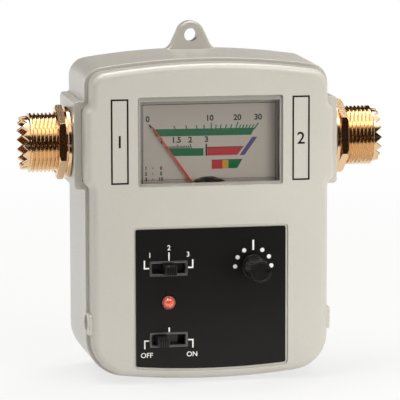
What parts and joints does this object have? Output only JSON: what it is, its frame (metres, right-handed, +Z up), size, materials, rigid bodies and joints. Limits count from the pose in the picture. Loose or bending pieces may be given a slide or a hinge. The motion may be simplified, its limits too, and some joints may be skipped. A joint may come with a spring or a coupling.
{
  "type": "antenna tester",
  "caption": "Hand-held in-line radio antenna tester: light grey case with a panel meter, slide switches, a set knob, a lamp, threaded coaxial sockets at the sides and a hanging tab.",
  "frame": {"origin": "middle of the foot: the centre of the bottom of the bounding box", "axes": "+X to the right seen from the front, +Y from the front panel to the back, +Z up to the hanging tab"},
  "size_m": [0.097, 0.0432, 0.0936],
  "materials": {
    "case_plastic": "moulded light grey ABS, fine satin",
    "label_film": "black printed polycarbonate film, satin",
    "black_plastic": "moulded black, satin",
    "meter_plastic": "moulded dark grey",
    "dial_paint": "matt enamel with printed scales",
    "clear_acrylic": "clear, polished",
    "needle_paint": "red enamel",
    "gold_plate": "turned brass, gold plated",
    "brass": "turned and stamped",
    "steel": "nickel plated",
    "insulator": "turned off-white plastic",
    "red_lens": "tinted clear epoxy",
    "board_laminate": "glass and epoxy laminate with green mask",
    "copper_wire": "enamelled copper wire",
    "battery_jacket": "printed metal jacket",
    "red_wire": "extruded vinyl",
    "black_wire": "extruded vinyl"
  },
  "bodies": {
    "case": {"battery": "battery_jacket", "battery_lead_black": "black_wire", "battery_lead_red": "red_wire", "battery_snap": "black_plastic", "board_screw_left": "steel", "board_screw_right": "steel", "case_screw_1": "steel", "case_screw_2": "steel", "case_screw_3": "steel", "case_screw_4": "steel", "control_chip": "black_plastic", "coupler_board": "board_laminate", "filter_capacitor": "steel", "front_label": "label_film", "front_shell": "case_plastic", "left_socket_barrel": "gold_plate", "left_socket_contact": "gold_plate", "left_socket_insulator": "insulator", "left_socket_nut": "gold_plate", "left_socket_washer": "gold_plate", "main_board": "board_laminate", "meter_bridge": "brass", "meter_case": "meter_plastic", "meter_core": "steel", "meter_dial": "dial_paint", "meter_hairspring": "brass", "meter_screw_left": "steel", "meter_screw_right": "steel", "meter_terminal_left": "brass", "meter_terminal_right": "brass", "meter_window": "clear_acrylic", "meter_yoke": "steel", "power_switch_body": "steel", "range_switch_body": "steel", "rear_shell": "case_plastic", "right_socket_barrel": "gold_plate", "right_socket_contact": "gold_plate", "right_socket_insulator": "insulator", "right_socket_nut": "gold_plate", "right_socket_washer": "gold_plate", "set_potentiometer": "steel", "status_lamp": "red_lens", "through_line": "brass"},
    "needle": {"meter_needle": "needle_paint", "meter_coil": "copper_wire"},
    "range_slider": {"range_switch_slider": "black_plastic"},
    "power_slider": {"power_switch_slider": "black_plastic"},
    "knob": {"set_knob": "black_plastic", "set_shaft": "brass"},
    "door": {"battery_door": "case_plastic"}
  },
  "joints": [
    {"name": "needle_swing", "type": "hinge", "parent": "case", "child": "needle", "pos_m": [0, -0.008, 0.0467], "axis": [0, 1, 0], "range_deg": [0, 70], "stiffness_Nm_per_rad": 0.00002, "springref_deg": -11.46},
    {"name": "range_switch_slide", "type": "slide", "parent": "case", "child": "range_slider", "axis": [1, 0, 0], "range_m": [-0.002, 0.002]},
    {"name": "power_switch_slide", "type": "slide", "parent": "case", "child": "power_slider", "axis": [1, 0, 0], "range_m": [0, 0.004]},
    {"name": "set_knob_turn", "type": "hinge", "parent": "case", "child": "knob", "pos_m": [0.01135, -0.0114, 0.03084], "axis": [0, 1, 0], "range_deg": [-200, 10]},
    {"name": "battery_door_tilt", "type": "hinge", "parent": "case", "child": "door", "pos_m": [0, 0.0202, 0.006], "axis": [-1, 0, 0], "range_deg": [0, 60]}
  ]
}
